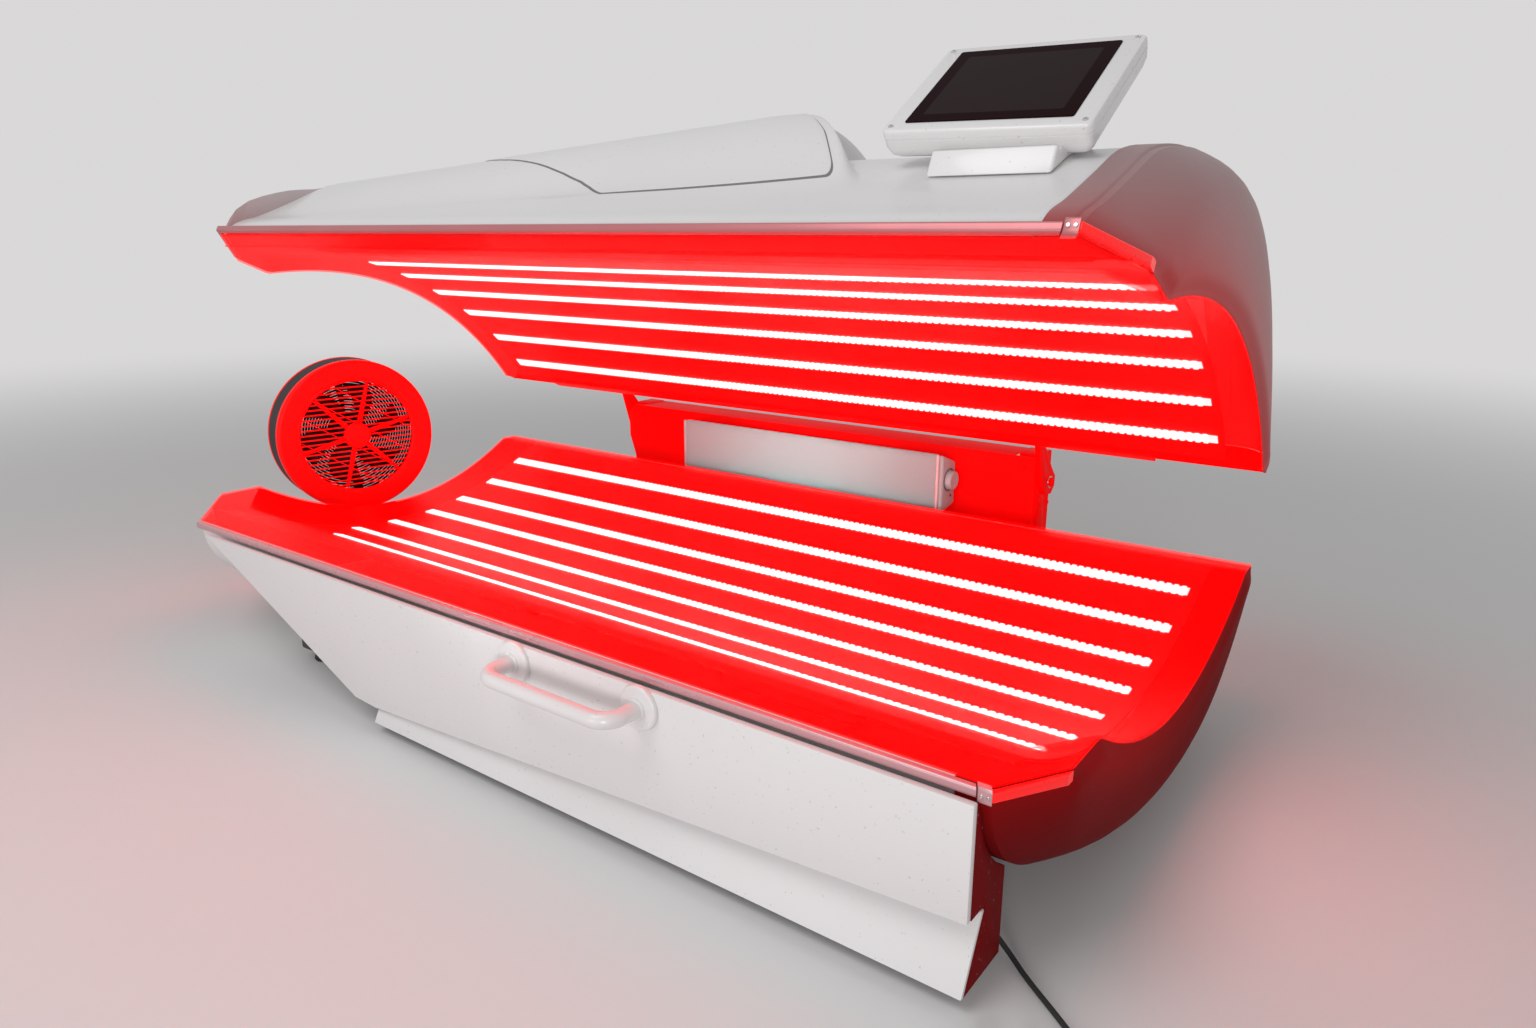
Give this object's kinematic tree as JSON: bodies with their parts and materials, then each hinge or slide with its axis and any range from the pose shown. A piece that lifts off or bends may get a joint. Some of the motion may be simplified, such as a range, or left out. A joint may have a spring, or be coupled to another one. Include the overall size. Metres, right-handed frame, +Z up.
{
  "type": "red light therapy pod",
  "caption": "Lie-in light therapy pod: a lit concave bed and a lit arched canopy hinged on a rear column, with tablet, fan, soundbar, grab handle and mains cord.",
  "frame": {"origin": "on the floor, under the middle of the whole without its loose cord", "axes": "+X along the bed to its tablet end, +Y from the front skirt to the rear column, +Z up"},
  "size_m": [2.6746, 1.4833, 1.2564],
  "materials": {
    "white_shell": "gloss white moulded shell",
    "grey_cap": "satin light grey moulding",
    "trim_alloy": "satin grey extrusion",
    "red_acrylic": "clear acrylic lit deep red from behind",
    "tray_alloy": "plain folded sheet",
    "lamp_strip": "white lamp strip",
    "frame_steel": "dark powder coat",
    "column_paint": "red gloss powder coat",
    "fan_red": "red gloss moulding",
    "foot_rubber": "black moulded rubber",
    "cord_rubber": "matt black cord",
    "dark_plastic": "black moulded plastic",
    "soundbar_grey": "light grey moulding and cloth",
    "screen_glass": "black glass"
  },
  "bodies": {
    "bed": {"front_skirt": "white_shell", "kick_panel": "white_shell", "skirt_return_left": "white_shell", "skirt_return_right": "white_shell", "bed_tub": "white_shell", "bed_end_cap_left": "grey_cap", "bed_end_cap_right": "grey_cap", "bed_acrylic": "red_acrylic", "bed_front_trim": "trim_alloy", "bed_led_tray": "tray_alloy", "bed_led_strips": "lamp_strip", "base_frame": "frame_steel", "foot_front_left": "foot_rubber", "foot_front_right": "foot_rubber", "foot_rear_left": "foot_rubber", "foot_rear_right": "foot_rubber", "power_supply": "dark_plastic", "control_unit": "dark_plastic", "handle_bar": "white_shell", "handle_flange_left": "white_shell", "handle_flange_right": "white_shell", "hinge_post_left": "column_paint", "hinge_post_right": "column_paint", "column_cover": "column_paint", "soundbar_body": "soundbar_grey", "soundbar_grille": "soundbar_grey", "soundbar_cap_left": "grey_cap", "soundbar_cap_right": "grey_cap", "fan_drum": "fan_red", "fan_grille": "fan_red", "fan_rear_guard": "dark_plastic", "fan_motor": "dark_plastic", "fan_bracket": "column_paint", "cord_gland": "dark_plastic", "mains_cord": "cord_rubber", "cord_coil": "cord_rubber", "cord_tie": "dark_plastic", "mains_plug": "dark_plastic"},
    "canopy": {"hinge_shaft": "frame_steel", "hinge_arm_left": "column_paint", "hinge_arm_right": "column_paint", "canopy_rear_rail": "column_paint", "canopy_shell": "white_shell", "canopy_access_cover": "white_shell", "canopy_end_cap_left": "grey_cap", "canopy_end_cap_right": "grey_cap", "canopy_front_trim": "trim_alloy", "canopy_acrylic": "red_acrylic", "canopy_led_tray": "tray_alloy", "canopy_led_strips": "lamp_strip", "tablet_pedestal": "white_shell", "tablet_housing": "white_shell", "tablet_glass": "screen_glass"},
    "fan_rotor": {"fan_rotor": "tray_alloy"},
    "soundbar_knob": {"soundbar_knob": "soundbar_grey"},
    "strut_cylinder_left": {"strut_cylinder_left": "frame_steel"},
    "strut_rod_left": {"strut_rod_left": "frame_steel"},
    "strut_cylinder_right": {"strut_cylinder_right": "frame_steel"},
    "strut_rod_right": {"strut_rod_right": "frame_steel"}
  },
  "joints": [
    {"name": "canopy_hinge", "type": "hinge", "parent": "bed", "child": "canopy", "pos_m": [0.11858, 0.68039, 0.388], "axis": [1, 0, 0], "range_deg": [0, 25]},
    {"name": "fan_spin", "type": "hinge", "parent": "bed", "child": "fan_rotor", "pos_m": [-1.10142, -0.00461, 0.39343], "axis": [0.9659, -0.2588, 0], "continuous": true},
    {"name": "knob_turn", "type": "hinge", "parent": "bed", "child": "soundbar_knob", "pos_m": [0.53318, 0.57624, 0.3824], "axis": [1, 0, 0], "range_deg": [-150, 150]},
    {"name": "strut_pivot_left", "type": "hinge", "parent": "bed", "child": "strut_cylinder_left", "pos_m": [-0.51392, 0.63289, 0.0863], "axis": [1, 0, 0], "range_deg": [-2, 2]},
    {"name": "strut_slide_left", "type": "slide", "parent": "strut_cylinder_left", "child": "strut_rod_left", "axis": [0, -0.0184, 0.9998], "range_m": [-0.026, 0.001]},
    {"name": "strut_pivot_right", "type": "hinge", "parent": "bed", "child": "strut_cylinder_right", "pos_m": [0.66108, 0.63289, 0.0863], "axis": [1, 0, 0], "range_deg": [-2, 2]},
    {"name": "strut_slide_right", "type": "slide", "parent": "strut_cylinder_right", "child": "strut_rod_right", "axis": [0, -0.0184, 0.9998], "range_m": [-0.026, 0.001]}
  ],
  "couplings": [
    {"joint": "strut_pivot_left", "follows": "canopy_hinge", "ratio": 0.02738},
    {"joint": "strut_slide_left", "follows": "canopy_hinge", "m_per_rad": -0.055652},
    {"joint": "strut_pivot_right", "follows": "canopy_hinge", "ratio": 0.02738},
    {"joint": "strut_slide_right", "follows": "canopy_hinge", "m_per_rad": -0.055652}
  ]
}
